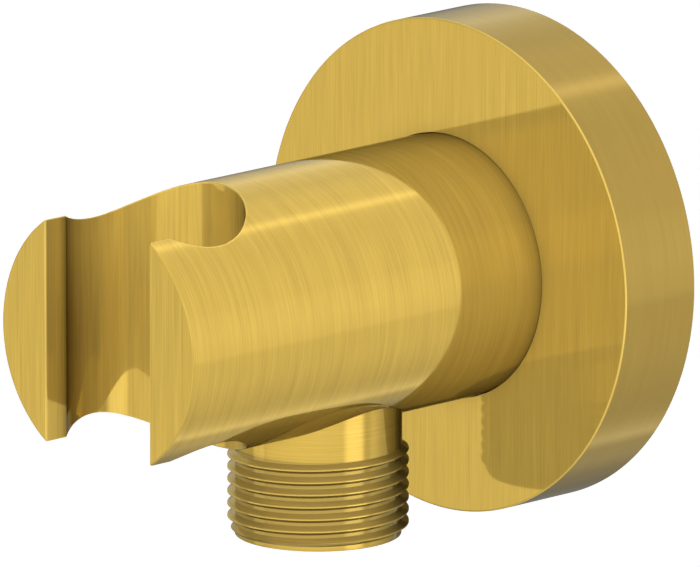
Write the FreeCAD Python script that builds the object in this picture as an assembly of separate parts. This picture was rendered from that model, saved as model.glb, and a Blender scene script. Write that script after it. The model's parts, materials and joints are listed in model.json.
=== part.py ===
"""Wall outlet for a shower hose, with a forked socket on its front that the hand shower hangs in.

All lengths are in millimetres. The wall is the plane Y = 0 and +Z is up. The round holder body lies
along Y at X = 0, Z = 0, and reaches out of the wall towards -Y. A place along the body is given as its
distance out from the wall, and a place along the hose outlet as its drop below the body's axis.
"""
import FreeCAD
import Part

import math
import os

# Holder body
body_dia = 31.0
body_reach = 68.0
edge_bevel = 0.2
handset_hole_dia = 20.6
handset_hole_setback = 9.2
slot_width = 16.8
passage_dia = 11.0

# Wall rosette
rosette_dia = 58.0
rosette_depth = 11.7
rosette_plate = 2.7
rosette_rim = 3.6
rosette_lip = 1.6
rosette_hub_wall = 3.4
rosette_hub_length = 7.2
rosette_ring_setback = 3.6
rosette_travel = 10.0

# Seal ring between the rosette and the wall
wall_seal_depth = 2.5
wall_seal_width = 2.4
wall_seal_proud = 0.3

# Pipe threads: half-inch parallel pipe, major diameter
pipe_thread_dia = 20.955

# Wall nipple, screwed into the pipe in the wall
wall_thread_length = 14.0
wall_thread_lead = 0.8
nipple_washer_depth = 1.0
nipple_washer_dia = 25.0
nipple_flange_dia = 25.4
nipple_flange_depth = 2.2
spigot_dia = 18.0
spigot_length = 15.0
spigot_lead = 1.0
spigot_bore_dia = 11.8
waterway_dia = 9.8
hex_key_size = 10.0
hex_key_depth = 8.0
spigot_ring_out = (10.6, 14.6)

# Grub screw that locks the holder body on the spigot
grub_out = 6.6
grub_dia = 5.0
grub_recess = 0.9
grub_bite = 0.9
grub_tip_dia = 2.6
grub_key_size = 2.5
grub_key_depth = 2.6
lock_groove_depth = 1.1
lock_groove_floor = 3.0

# Outlet nipple, screwed into the underside of the holder body
outlet_out = 32.6
outlet_seat_drop = 11.0
neck_dia = 19.4
outlet_thread_drop = 17.7
outlet_end_drop = 28.2
outlet_thread_lead = 0.7
outlet_shank_dia = 16.0
outlet_shank_length = 3.2
outlet_spigot_dia = 14.4
outlet_spigot_length = 3.4
outlet_bore_dia = 10.2

# Check valve cartridge inside the outlet nipple
cartridge_dia = 14.8
cartridge_top_drop = 12.4
cartridge_length = 15.0
cartridge_wall = 1.3
cartridge_head = 3.0
valve_hole_dia = 7.6
valve_seal_depth = 0.8
valve_seal_width = 1.6
valve_lap = 1.0
poppet_rim = 1.3
poppet_nose = 1.4
poppet_stroke = 2.5
stem_dia = 2.4
cage_hub_dia = 4.6
cage_hub_length = 4.2
cage_ring_depth = 1.6
cage_ring_wall = 0.9
cage_spoke_width = 1.1
cage_spokes = 4
spring_wire = 0.5
spring_dia = 4.6
spring_turns = 3.5

# Sealing rings: section height is set by groove and bore, these give the rest
seal_corner_share = 0.4
ring_groove_depth = 1.35
ring_width = 1.9
ring_side_room = 0.25
small_groove_depth = 1.0
small_ring_width = 1.4
small_side_room = 0.2

# Clearances
slide_clear = 0.08
spigot_clear = 0.05
thread_clear = 0.05
ring_clear = 0.02
stem_clear = 0.06
seat_clear = 0.05
cartridge_clear = 0.1
end_gap = 0.2

Vec = FreeCAD.Vector
ACROSS = Vec(1, 0, 0)
OUT = Vec(0, -1, 0)
DOWN = Vec(0, 0, -1)
WALL = Vec(0, 0, 0)
OUTLET = OUT * outlet_out

body_r = body_dia / 2
pipe_r = pipe_thread_dia / 2


def turned(points, base, direction):
    """Revolve an outline of (distance along, radius) points about the axis through base."""
    corners = [base + direction * along + ACROSS * radius for along, radius in points]
    outline = Part.makePolygon(corners + corners[:1])
    return Part.Face(outline).revolve(base, direction, 360)


def rod(start, end, radius, base, direction):
    """A plain round bar, used for bores too."""
    return Part.makeCylinder(radius, end - start, base + direction * start, direction)


def tube(start, end, inner, outer, base, direction):
    return rod(start, end, outer, base, direction).cut(rod(start, end, inner, base, direction))


def cone(start, end, start_radius, end_radius, base, direction):
    return Part.makeCone(start_radius, end_radius, end - start, base + direction * start, direction)


def hex_bar(size, start, end, base, direction, side):
    """A hexagon bar, size across its flats, for key sockets."""
    other = direction.cross(side)
    corner = size / math.sqrt(3)
    turns = [math.radians(60 * n) for n in range(6)]
    points = [
        base + direction * start + side * (corner * math.cos(a)) + other * (corner * math.sin(a))
        for a in turns
    ]
    return Part.Face(Part.makePolygon(points + points[:1])).extrude(direction * (end - start))


def seal_ring(middle, width, inner, outer, base, direction):
    """A rubber ring squeezed between two round walls: a six-sided section, flat inside and outside."""
    side_r = (inner + outer) / 2
    corner = min(width, outer - inner) * seal_corner_share
    outline = [
        (middle - width / 2, side_r),
        (middle - width / 2 + corner, outer),
        (middle + width / 2 - corner, outer),
        (middle + width / 2, side_r),
        (middle + width / 2 - corner, inner),
        (middle - width / 2 + corner, inner),
    ]
    return turned(outline, base, direction)


def bevelled_bar(start, end, radius, bevel, base, direction):
    """A round bar with both end edges bevelled."""
    outline = [
        (start, 0),
        (start, radius - bevel),
        (start + bevel, radius),
        (end - bevel, radius),
        (end, radius - bevel),
        (end, 0),
    ]
    return turned(outline, base, direction)


# Places along the body, out from the wall
flange_front = nipple_washer_depth + nipple_flange_depth
body_rear = flange_front + end_gap
spigot_end = flange_front + spigot_length
socket_end = spigot_end + end_gap
hole_out = body_reach - handset_hole_setback
spigot_socket_r = spigot_dia / 2 + spigot_clear

# Places along the outlet, down from the body's axis
shank_top = outlet_seat_drop - outlet_shank_length
outlet_top = shank_top - outlet_spigot_length
cartridge_r = cartridge_dia / 2
nipple_bore_r = cartridge_r + cartridge_clear
cartridge_end = cartridge_top_drop + cartridge_length
head_end = cartridge_top_drop + cartridge_head
chamber_r = cartridge_r - cartridge_wall
seal_top = head_end + seat_clear
rim_top = seal_top + valve_seal_depth
rim_end = rim_top + poppet_rim
hub_top = cartridge_end - cage_hub_length
cage_ring_top = cartridge_end - cage_ring_depth
poppet_r = valve_hole_dia / 2 + valve_lap
poppet_neck_r = poppet_r - valve_seal_width


def make_holder_body():
    """Turned bar with the fork for the handset at its front and the waterway at its rear."""
    body = bevelled_bar(body_rear, body_reach, body_r, edge_bevel, WALL, OUT)
    hole_base = OUT * hole_out - DOWN * body_dia
    hole = Part.makeCylinder(handset_hole_dia / 2, 2 * body_dia, hole_base, DOWN)
    slot_corner = Vec(-slot_width / 2, -body_reach - body_dia, -body_dia)
    slot = Part.makeBox(slot_width, body_dia + handset_hole_setback, 2 * body_dia, slot_corner)
    body = body.cut(hole.fuse(slot).removeSplitter())
    body = body.makeChamfer(edge_bevel, fork_edges(body))
    for bore in body_bores():
        body = body.cut(bore)
    return body


def fork_edges(body):
    """Edges of the slot and of the handset hole, apart from the upright ones where the two meet."""
    found = []
    for edge in body.Edges:
        box = edge.BoundBox
        in_fork = box.YMax < -hole_out + handset_hole_dia / 2 + edge_bevel
        in_slot = abs(box.Center.x) < slot_width / 2 + edge_bevel
        upright = box.XLength < edge_bevel and box.YLength < edge_bevel
        at_front = box.YMax < -body_reach + edge_bevel
        if in_fork and in_slot and (at_front or not upright):
            found.append(edge)
    return found


def body_bores():
    """Everything that is bored into the body: the spigot socket, the waterway and three threads."""
    socket_lead = cone(
        body_rear, body_rear + spigot_lead, spigot_socket_r + spigot_lead, spigot_socket_r, WALL, OUT
    )
    passage_r = passage_dia / 2
    shank_r = outlet_shank_dia / 2 + thread_clear
    return [
        socket_lead,
        rod(body_rear, socket_end, spigot_socket_r, WALL, OUT),
        rod(socket_end, outlet_out, passage_r, WALL, OUT),
        cone(outlet_out, outlet_out + passage_r, passage_r, 0, WALL, OUT),
        rod(0, outlet_top, passage_r, OUTLET, DOWN),
        rod(outlet_top - end_gap, outlet_seat_drop, outlet_spigot_dia / 2 + spigot_clear, OUTLET, DOWN),
        rod(shank_top - end_gap, outlet_seat_drop, shank_r, OUTLET, DOWN),
        rod(outlet_seat_drop, body_dia, neck_dia / 2 + thread_clear, OUTLET, DOWN),
        rod(0, body_dia, grub_dia / 2 + thread_clear, OUT * grub_out, DOWN),
    ]


def make_wall_rosette():
    """Turned cup that covers the hole in the wall and slides on the body, with a ring groove in its hub."""
    outer_r = rosette_dia / 2
    bore_r = body_r + slide_clear
    hub_r = bore_r + rosette_hub_wall
    plate_back = rosette_depth - rosette_plate
    hub_back = rosette_depth - rosette_hub_length
    groove = rosette_depth - rosette_ring_setback
    half_groove = small_ring_width / 2 + small_side_room
    outline = [
        (wall_seal_proud, outer_r),
        (rosette_depth - edge_bevel, outer_r),
        (rosette_depth, outer_r - edge_bevel),
        (rosette_depth, bore_r + edge_bevel),
        (rosette_depth - edge_bevel, bore_r),
        (groove + half_groove, bore_r),
        (groove + half_groove, bore_r + small_groove_depth),
        (groove - half_groove, bore_r + small_groove_depth),
        (groove - half_groove, bore_r),
        (hub_back + edge_bevel, bore_r),
        (hub_back, bore_r + edge_bevel),
        (hub_back, hub_r),
        (plate_back, hub_r),
        (plate_back, outer_r - rosette_rim),
        (wall_seal_depth, outer_r - rosette_rim),
        (wall_seal_depth, outer_r - rosette_lip),
        (wall_seal_proud, outer_r - rosette_lip),
    ]
    return turned(outline, WALL, OUT)


def make_rosette_o_ring():
    groove_floor = body_r + slide_clear + small_groove_depth
    middle = rosette_depth - rosette_ring_setback
    inner = body_r + slide_clear / 2
    return seal_ring(middle, small_ring_width, inner, groove_floor - ring_clear, WALL, OUT)


def make_wall_seal_ring():
    """Soft ring in the rosette's rear edge. It stands a little proud and meets the wall."""
    outer = rosette_dia / 2 - rosette_lip - ring_clear
    return tube(0, wall_seal_depth, outer - wall_seal_width, outer, WALL, OUT)


def make_wall_nipple():
    """Turned nipple: pipe thread into the wall, flange on the washer, spigot into the body."""
    groove_r = spigot_dia / 2 - ring_groove_depth
    lock_r = spigot_dia / 2 - lock_groove_depth
    half_floor = lock_groove_floor / 2
    half_mouth = half_floor + lock_groove_depth
    spigot_r = spigot_dia / 2
    outline = [
        (-wall_thread_length, waterway_dia / 2),
        (-wall_thread_length, pipe_r - wall_thread_lead),
        (wall_thread_lead - wall_thread_length, pipe_r),
        (0, pipe_r),
        (0, pipe_r - wall_thread_lead),
        (nipple_washer_depth, pipe_r - wall_thread_lead),
        (nipple_washer_depth, nipple_flange_dia / 2),
        (flange_front, nipple_flange_dia / 2),
        (flange_front, spigot_r),
        (grub_out - half_mouth, spigot_r),
        (grub_out - half_floor, lock_r),
        (grub_out + half_floor, lock_r),
        (grub_out + half_mouth, spigot_r),
    ]
    for middle in spigot_ring_out:
        half_groove = ring_width / 2 + ring_side_room
        outline += [
            (middle - half_groove, spigot_r),
            (middle - half_groove, groove_r),
            (middle + half_groove, groove_r),
            (middle + half_groove, spigot_r),
        ]
    outline += [
        (spigot_end - spigot_lead, spigot_r),
        (spigot_end, spigot_r - spigot_lead),
        (spigot_end, waterway_dia / 2),
    ]
    nipple = turned(outline, WALL, OUT)
    key_end = flange_front - hex_key_depth
    nipple = nipple.cut(rod(flange_front, spigot_end, spigot_bore_dia / 2, WALL, OUT))
    return nipple.cut(hex_bar(hex_key_size, key_end, flange_front, WALL, OUT, ACROSS))


def make_nipple_washer():
    """Flat fibre washer between the nipple's flange and the fitting in the wall."""
    return tube(0, nipple_washer_depth, pipe_r + end_gap, nipple_washer_dia / 2, WALL, OUT)


def make_nipple_o_ring(middle):
    inner = spigot_dia / 2 - ring_groove_depth + ring_clear
    return seal_ring(middle, ring_width, inner, spigot_socket_r - ring_clear, WALL, OUT)


def make_grub_screw():
    """Pointed screw, driven up from below until its tip is in the nipple's locking groove."""
    tip = spigot_dia / 2 - grub_bite
    flare = (grub_dia - grub_tip_dia) / 2
    screw_end = body_r - grub_recess
    outline = [
        (tip, 0),
        (tip, grub_tip_dia / 2),
        (tip + flare, grub_dia / 2),
        (screw_end - edge_bevel, grub_dia / 2),
        (screw_end, grub_dia / 2 - edge_bevel),
        (screw_end, 0),
    ]
    base = OUT * grub_out
    screw = turned(outline, base, DOWN)
    return screw.cut(hex_bar(grub_key_size, screw_end - grub_key_depth, screw_end, base, DOWN, ACROSS))


def make_outlet_nipple():
    """Turned nipple: sealed spigot and thread into the body, bare neck, then the hose thread."""
    shank_r = outlet_shank_dia / 2
    top_r = outlet_spigot_dia / 2
    groove_r = top_r - small_groove_depth
    half_groove = small_ring_width / 2 + small_side_room
    groove = (shank_top + outlet_top) / 2
    neck_r = neck_dia / 2
    outline = [
        (outlet_top, outlet_bore_dia / 2),
        (outlet_top, top_r),
        (groove - half_groove, top_r),
        (groove - half_groove, groove_r),
        (groove + half_groove, groove_r),
        (groove + half_groove, top_r),
        (shank_top, top_r),
        (shank_top, shank_r),
        (outlet_seat_drop, shank_r),
        (outlet_seat_drop, neck_r),
        (outlet_thread_drop, neck_r),
        (outlet_thread_drop, pipe_r),
        (outlet_end_drop - outlet_thread_lead, pipe_r),
        (outlet_end_drop, pipe_r - outlet_thread_lead),
        (outlet_end_drop, nipple_bore_r),
        (cartridge_top_drop, nipple_bore_r),
        (cartridge_top_drop, outlet_bore_dia / 2),
    ]
    return turned(outline, OUTLET, DOWN)


def make_outlet_nipple_o_ring():
    inner = outlet_spigot_dia / 2 - small_groove_depth + ring_clear
    outer = outlet_spigot_dia / 2 + spigot_clear - ring_clear
    return seal_ring((shank_top + outlet_top) / 2, small_ring_width, inner, outer, OUTLET, DOWN)


def make_check_valve_housing():
    """Moulded sleeve with the valve seat in its head, a ring groove outside and a step for the cage."""
    half_groove = small_ring_width / 2 + small_side_room
    groove = cartridge_top_drop + cartridge_head / 2
    groove_r = cartridge_r - small_groove_depth
    cage_r = chamber_r + cage_ring_wall / 2
    outline = [
        (cartridge_top_drop, valve_hole_dia / 2),
        (cartridge_top_drop, cartridge_r),
        (groove - half_groove, cartridge_r),
        (groove - half_groove, groove_r),
        (groove + half_groove, groove_r),
        (groove + half_groove, cartridge_r),
        (cartridge_end, cartridge_r),
        (cartridge_end, cage_r),
        (cage_ring_top, cage_r),
        (cage_ring_top, chamber_r),
        (head_end, chamber_r),
        (head_end, valve_hole_dia / 2),
    ]
    return turned(outline, OUTLET, DOWN)


def make_check_valve_o_ring():
    inner = cartridge_r - small_groove_depth + ring_clear
    middle = cartridge_top_drop + cartridge_head / 2
    return seal_ring(middle, small_ring_width, inner, nipple_bore_r - ring_clear, OUTLET, DOWN)


def make_check_valve_poppet():
    """Valve disc with a nose through the seat and a stem that the cage guides."""
    nose_top = seal_top - poppet_nose
    stem_end = cartridge_end - poppet_stroke
    outline = [
        (nose_top, 0),
        (seal_top, poppet_neck_r - ring_clear),
        (rim_top, poppet_neck_r - ring_clear),
        (rim_top, poppet_r),
        (rim_end, poppet_r),
        (rim_end, stem_dia / 2),
        (stem_end, stem_dia / 2),
        (stem_end, 0),
    ]
    return turned(outline, OUTLET, DOWN)


def make_check_valve_poppet_seal():
    return tube(seal_top, rim_top, poppet_neck_r, poppet_r, OUTLET, DOWN)


def make_check_valve_cage():
    """Snap-in ring with a hub on spokes. The hub guides the stem and carries the spring."""
    ring_r = chamber_r + cage_ring_wall / 2 - ring_clear
    ring = tube(cage_ring_top, cartridge_end, ring_r - cage_ring_wall, ring_r, OUTLET, DOWN)
    hub = rod(hub_top, cartridge_end, cage_hub_dia / 2, OUTLET, DOWN)
    cage = ring.fuse(hub)
    spoke_length = ring_r - cage_ring_wall / 2
    corner = OUTLET + DOWN * cartridge_end - Vec(0, cage_spoke_width / 2, 0)
    spoke = Part.makeBox(spoke_length, cage_spoke_width, cage_ring_depth, corner)
    for number in range(cage_spokes):
        turned_spoke = spoke.copy()
        turned_spoke.rotate(OUTLET, DOWN, 360 * number / cage_spokes)
        cage = cage.fuse(turned_spoke)
    guide = rod(hub_top, cartridge_end, stem_dia / 2 + stem_clear, OUTLET, DOWN)
    return cage.cut(guide).removeSplitter()


def make_check_valve_spring():
    """Light coil spring with ground ends, between the poppet and the cage's hub."""
    length = hub_top - rim_end
    coil_r = (spring_dia - spring_wire) / 2
    helix = Part.makeHelix(length / spring_turns, length, coil_r)
    start = Vec(coil_r, 0, 0)
    turns = [math.radians(60 * n) for n in range(6)]
    rim = [start + Vec(math.cos(a), 0, math.sin(a)) * (spring_wire / 2) for a in turns]
    section = Part.makePolygon(rim + rim[:1])
    coil = Part.Wire(helix).makePipeShell([section], True, True)
    coil.translate(OUTLET + DOWN * hub_top)
    room = rod(rim_end + ring_clear, hub_top - ring_clear, spring_dia, OUTLET, DOWN)
    return coil.common(room)


pieces = {
    "holder_body": make_holder_body(),
    "wall_rosette": make_wall_rosette(),
    "rosette_o_ring": make_rosette_o_ring(),
    "wall_seal_ring": make_wall_seal_ring(),
    "wall_nipple": make_wall_nipple(),
    "nipple_washer": make_nipple_washer(),
    "nipple_o_ring_rear": make_nipple_o_ring(spigot_ring_out[0]),
    "nipple_o_ring_front": make_nipple_o_ring(spigot_ring_out[1]),
    "grub_screw": make_grub_screw(),
    "outlet_nipple": make_outlet_nipple(),
    "outlet_nipple_o_ring": make_outlet_nipple_o_ring(),
    "check_valve_housing": make_check_valve_housing(),
    "check_valve_o_ring": make_check_valve_o_ring(),
    "check_valve_poppet": make_check_valve_poppet(),
    "check_valve_poppet_seal": make_check_valve_poppet_seal(),
    "check_valve_cage": make_check_valve_cage(),
    "check_valve_spring": make_check_valve_spring(),
}

os.makedirs("parts", exist_ok=True)
for name, shape in pieces.items():
    shape.exportStep(f"parts/{name}.step")
    print(name, "solids", len(shape.Solids), "valid", shape.isValid(), "volume", round(shape.Volume, 2))
print("rosette can travel", rosette_travel, "and the poppet", poppet_stroke)
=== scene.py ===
# %% [markdown]
# # A wall outlet for a shower hose, with a fork for the hand shower
#
# The real object is a turned brass fitting with a brushed gold coating. A round rosette lies on the wall, a
# round body comes out through it, and the front end of the body is drilled and slotted into a fork that the
# handle of the hose hangs in. A short nipple with the hose thread points down from the body.
#
# The construction is already made as solids, in metres, and comes in as a fixed frame. This lesson gives it
# its looks. The frame's solids are coarse where they are round, so all of them but the grub screw are made
# again with fine faces and true normals, at the same place and size.

# %% Load the frame
import json
import math

import bmesh
import bpy
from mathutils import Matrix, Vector


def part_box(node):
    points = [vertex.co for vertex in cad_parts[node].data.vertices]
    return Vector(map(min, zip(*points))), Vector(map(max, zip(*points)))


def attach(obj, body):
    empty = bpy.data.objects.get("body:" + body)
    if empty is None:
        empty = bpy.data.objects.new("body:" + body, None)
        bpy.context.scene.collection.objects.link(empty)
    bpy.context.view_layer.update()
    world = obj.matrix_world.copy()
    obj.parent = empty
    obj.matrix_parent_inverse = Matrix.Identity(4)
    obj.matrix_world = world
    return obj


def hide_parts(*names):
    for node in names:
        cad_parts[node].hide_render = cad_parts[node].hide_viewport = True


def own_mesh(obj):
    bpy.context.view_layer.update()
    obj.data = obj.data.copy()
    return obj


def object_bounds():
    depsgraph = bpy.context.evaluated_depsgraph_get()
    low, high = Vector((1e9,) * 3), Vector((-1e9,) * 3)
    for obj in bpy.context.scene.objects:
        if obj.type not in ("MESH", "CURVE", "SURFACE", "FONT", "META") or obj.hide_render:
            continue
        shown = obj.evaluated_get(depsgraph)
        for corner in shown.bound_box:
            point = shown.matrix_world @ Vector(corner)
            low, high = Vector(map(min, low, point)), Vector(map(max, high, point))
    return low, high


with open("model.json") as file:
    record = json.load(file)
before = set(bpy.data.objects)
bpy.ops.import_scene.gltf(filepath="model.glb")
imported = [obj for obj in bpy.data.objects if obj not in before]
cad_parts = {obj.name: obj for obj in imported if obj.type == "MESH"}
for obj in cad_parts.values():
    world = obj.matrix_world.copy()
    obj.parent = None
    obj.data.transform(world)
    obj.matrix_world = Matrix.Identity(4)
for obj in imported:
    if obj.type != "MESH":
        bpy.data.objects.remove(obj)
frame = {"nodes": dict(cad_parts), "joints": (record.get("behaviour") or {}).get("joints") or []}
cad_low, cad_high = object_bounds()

nodes = frame["nodes"]
whole = [round(1000 * side, 1) for side in cad_high - cad_low]
print("pieces in the frame:", len(nodes), "size in mm:", whole)

# %% [markdown]
# ## Sizes
#
# Anything that shows where the frame's pieces are is read from their boxes, so that the looks follow the
# construction. Distances along the body are counted out from the wall, and distances along the hose nipple
# are counted down from the body's axis. What a box can't say, such as a wall or a groove, is a named value.

# %% Sizes that are read from the frame
mm = 0.001
ACROSS = Vector((1, 0, 0))
OUT = Vector((0, -1, 0))
IN = Vector((0, 1, 0))
DOWN = Vector((0, 0, -1))
WALL = Vector((0, 0, 0))


def span(node, direction):
    """Where a node starts and ends along a direction, in metres."""
    low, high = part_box(node)
    ends = sorted((low.dot(direction), high.dot(direction)))
    return ends[0], ends[1]


def middle(node):
    """The centre of a node's box."""
    low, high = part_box(node)
    return (low + high) / 2


body_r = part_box("holder_body")[1].x
body_rear, body_front = span("holder_body", OUT)
rosette_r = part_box("wall_rosette")[1].x
rosette_back, rosette_front = span("wall_rosette", OUT)
outlet_top, outlet_end = span("outlet_nipple", DOWN)
thread_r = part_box("outlet_nipple")[1].x
OUTLET = OUT * middle("outlet_nipple").dot(OUT)
outlet_out = OUTLET.dot(OUT)
radii = [round(radius / mm, 2) for radius in (body_r, rosette_r, thread_r)]
print("radii of the body, the rosette and the thread:", radii)

# %% Sizes that are named here
edge = 0.2 * mm
hole_r = 10.3 * mm
hole_out = 58.8 * mm
half_slot = 8.4 * mm
neck_r = 9.7 * mm
slide_gap = 0.08 * mm
fit_gap = 0.05 * mm
columns = 288
small_columns = 144
weld = 0.0005 * mm
print("hole of the fork in mm:", round(2 * hole_r / mm, 1), "slot:", round(2 * half_slot / mm, 1))

# %% [markdown]
# ## Node arithmetic
#
# Materials, the backdrop and the threads all need formulas in their node trees. One small class holds the
# output of a node and understands plus, minus, times and divide, so that a formula in Python places its own
# Math nodes. A second class adds every other kind of node: its settings first, then its inputs.

# %% Formulas that place their own nodes
class Flow:
    """The output of a node, ready for arithmetic."""

    def __init__(self, tree, socket):
        self.tree = tree
        self.socket = socket

    def math(self, operation, *others, swap=False):
        items = (*others, self) if swap else (self, *others)
        return self.tree.add("ShaderNodeMath", {"operation": operation}, dict(enumerate(items)))

    def __add__(self, other):
        return self.math("ADD", other)

    def __sub__(self, other):
        return self.math("SUBTRACT", other)

    def __rsub__(self, other):
        return self.math("SUBTRACT", other, swap=True)

    def __mul__(self, other):
        return self.math("MULTIPLY", other)

    def __truediv__(self, other):
        return self.math("DIVIDE", other)

    def __rtruediv__(self, other):
        return self.math("DIVIDE", other, swap=True)

    __radd__ = __add__
    __rmul__ = __mul__

    def clamped(self, low=0.0, high=1.0):
        return self.math("MAXIMUM", low).math("MINIMUM", high)


class Tree:
    """A node tree that grows by calls of add."""

    def __init__(self, nodes_and_links):
        self.tree = nodes_and_links
        self.tree.nodes.clear()

    def add(self, kind, settings=None, inputs=None, output=0):
        node = self.tree.nodes.new(kind)
        for name, value in (settings or {}).items():
            if name == "stops":
                self.set_stops(node.color_ramp.elements, value)
            else:
                setattr(node, name, value)
        for key, value in (inputs or {}).items():
            self.plug(node.inputs[key], value)
        return Flow(self, node.outputs[output]) if len(node.outputs) else node

    def plug(self, socket, value):
        if isinstance(value, Flow):
            self.tree.links.new(value.socket, socket)
        else:
            socket.default_value = value

    def set_stops(self, elements, stops):
        """Gives a ramp its places and grey levels."""
        while len(elements) < len(stops):
            elements.new(0.5)
        for element, (place, value) in zip(elements, stops):
            element.position = place
            element.color = (value, value, value, 1)

    def parts(self, vector):
        """The three numbers of a vector."""
        node = self.tree.nodes.new("ShaderNodeSeparateXYZ")
        self.plug(node.inputs[0], vector)
        return [Flow(self, output) for output in node.outputs]

    def vector(self, x, y, z):
        return self.add("ShaderNodeCombineXYZ", None, {0: x, 1: y, 2: z})

    def mix(self, factor, first, second):
        """A colour between two colours."""
        inputs = {0: factor, 6: first, 7: second}
        return self.add("ShaderNodeMix", {"data_type": "RGBA"}, inputs, output=2)

    def noise(self, place, scale, detail=2.0, roughness=0.5):
        """A noise value about 0.5, with its own scale along each axis."""
        stretched = self.add("ShaderNodeVectorMath", {"operation": "MULTIPLY"}, {0: place, 1: scale})
        inputs = {"Vector": stretched, "Scale": 1.0, "Detail": detail, "Roughness": roughness}
        return self.add("ShaderNodeTexNoise", None, inputs, output="Fac")


print("node arithmetic is ready")

# %% [markdown]
# ## Brushed gold
#
# The coating is a thin metal film over brass that was brushed first. Up close the brushing is a bundle of
# fine straight lines, each a little lighter or darker than the next. On the round body the lines run round
# it, on the flat faces they run up and down, and on the nipple they run level. One function makes them all:
# a noise that is stretched about eighty times along the lines. It steers the colour, the roughness and a very
# faint bump, so that reflections break up across the lines.
#
# The film is clear enough to show sharp reflections, but the brushing under it scatters light as paint
# would. So the metal share is less than a half. The rosette's rim is a darker gold. The thread's gold is
# darker as well, which is painted shade between its teeth.

# %% The brushed gold
gold = (0.77, 0.518, 0.099)
# A lighter gold that paints highlights on rounded edges and on the thread's crests.
edge_highlight_gold = (0.92, 0.64, 0.14)
rim_gold = (0.50, 0.334, 0.073)
# The thread's gold is darker, which is painted shade between its teeth.
shaded_thread_gold = (0.54, 0.378, 0.092)
gold_contrast = 0.22
fine_contrast = 0.20
rim_contrast = 0.10
gold_metallic = 0.4
gold_roughness = 0.055
edge_tint = (0.96, 0.92, 0.6, 1)
film_gloss = 0.15
line_width = 0.16 * mm
band_width = 1.1 * mm
line_length = 13 * mm
line_weight = 1.25
band_weight = 0.5
line_bump = 0.1
line_depth = 0.004 * mm
line_roughness = 0.04


def new_material(name):
    material = bpy.data.materials.new(name)
    material.use_nodes = True
    return material, Tree(material.node_tree)


def principled(tree, inputs):
    shader = tree.add("ShaderNodeBsdfPrincipled", None, inputs)
    tree.add("ShaderNodeOutputMaterial", None, {"Surface": shader})


def fallen(value, start, width):
    """0 before start, 1 after start and width, and a straight line between them."""
    return ((value - start) / width).clamped()


def brushed_gold(name, across, colour=gold, contrast=gold_contrast, painted_shade=None, bright=None):
    """Gold with lines that follow each other quickly along one axis: 0 for X, 1 for Y, 2 for Z.

    The last two take a place and give the share of painted shade and of painted highlight there.
    """
    material, tree = new_material(name)
    place = tree.add("ShaderNodeTexCoord", output="Object")
    fine, broad = [[1 / line_length] * 3 for _ in range(2)]
    fine[across] = 1 / line_width
    broad[across] = 1 / band_width
    lines = tree.noise(place, fine, detail=3.0, roughness=0.6)
    bands = tree.noise(place, broad)
    tone = (0.5 + (lines - 0.5) * line_weight + (bands - 0.5) * band_weight).clamped()
    bump = {"Strength": line_bump, "Distance": line_depth, "Height": lines}
    height = tree.add("ShaderNodeBump", None, bump)
    dark, light = [(*(part * (1 + sign * contrast) for part in colour), 1) for sign in (-1, 1)]
    paint = tree.mix(tone, dark, light)
    # Painted highlight: the colour is mixed towards a lighter gold by the given share.
    if bright:
        paint = tree.mix(bright(*tree.parts(place)), paint, (*edge_highlight_gold, 1))
    # Painted shade: the colour is mixed towards black by the given share.
    if painted_shade:
        paint = tree.mix(painted_shade(*tree.parts(place)), paint, (0, 0, 0, 1))
    inputs = {
        "Base Color": paint,
        "Metallic": gold_metallic,
        "Roughness": gold_roughness + (lines - 0.5) * line_roughness,
        "Specular Tint": edge_tint,
        "Specular IOR Level": film_gloss,
        "Normal": height,
    }
    principled(tree, inputs)
    return material


print("brushing lines", line_width / mm, "mm wide and", line_length / mm, "mm long")

# %% [markdown]
# ## Painted shade in the corners and painted highlights on the edges
#
# Shade is painted into the gold in its corners, and highlights onto its rounded edges and the crests of the
# thread.
# Each of these shares is worked out from a place on the piece itself, so it stays with the piece whatever the
# view. A pair of values says how far a painted shade reaches from its corner and how dark it is at its
# deepest.
#
# Shade is painted on the body where it meets the rosette and the nipple, and on the rosette's face where it
# meets the body. The walls of the fork have painted shade inside the hole and in the corners of the slot. The
# nipple has painted shade at its rear, towards the wall. The crests of the thread have a painted highlight.

# %% Where shade and highlights are painted into the gold
# Painted shade: each pair is how far it reaches from a corner and how dark it is there.
body_shade = 1.9 * mm, 0.42
nipple_shade = 1.6 * mm, 0.5
face_shade = 0.9 * mm, 0.20
slot_shade = 0.8 * mm, 0.55
underside_drop = 5 * mm
underside_fade = 3 * mm
# Painted shade inside the hole of the fork: how dark, where it starts and over how far it fades in.
hole_shade = 0.12
hole_start = hole_out - 4.5 * mm
hole_fade = 2 * mm
# Painted shade on the rear of the nipple and its thread, towards the wall.
rear_shade = 0.8
rear_start = -34.8 * mm
rear_fade = 7 * mm
# Painted highlight on the crests of the thread.
crest_highlight = 0.65
crest_start = thread_r - 0.15 * mm
crest_fade = 0.12 * mm


def near(distance, reach, depth):
    """A share that is largest where a distance is nought and fades away from there."""
    return (distance.math("ABSOLUTE") * (-1 / reach)).math("EXPONENT") * depth


def off_nipple(x, y):
    """How far a place is from the axis of the outlet nipple."""
    across = y + outlet_out
    return (x * x + across * across).math("SQRT")


# Painted shade on the body where it meets the rosette and, below the axis, the nipple.
def shade_on_body(x, y, z):
    at_rosette = near(0 - y - rosette_front, *body_shade)
    at_nipple = near(off_nipple(x, y) - neck_r, *nipple_shade)
    return at_rosette + at_nipple * fallen(0 - z, underside_drop, underside_fade)


# Painted shade on the rosette's face where it meets the body.
def shade_on_face(x, y, z):
    return near((x * x + z * z).math("SQRT") - body_r, *face_shade)


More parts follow.
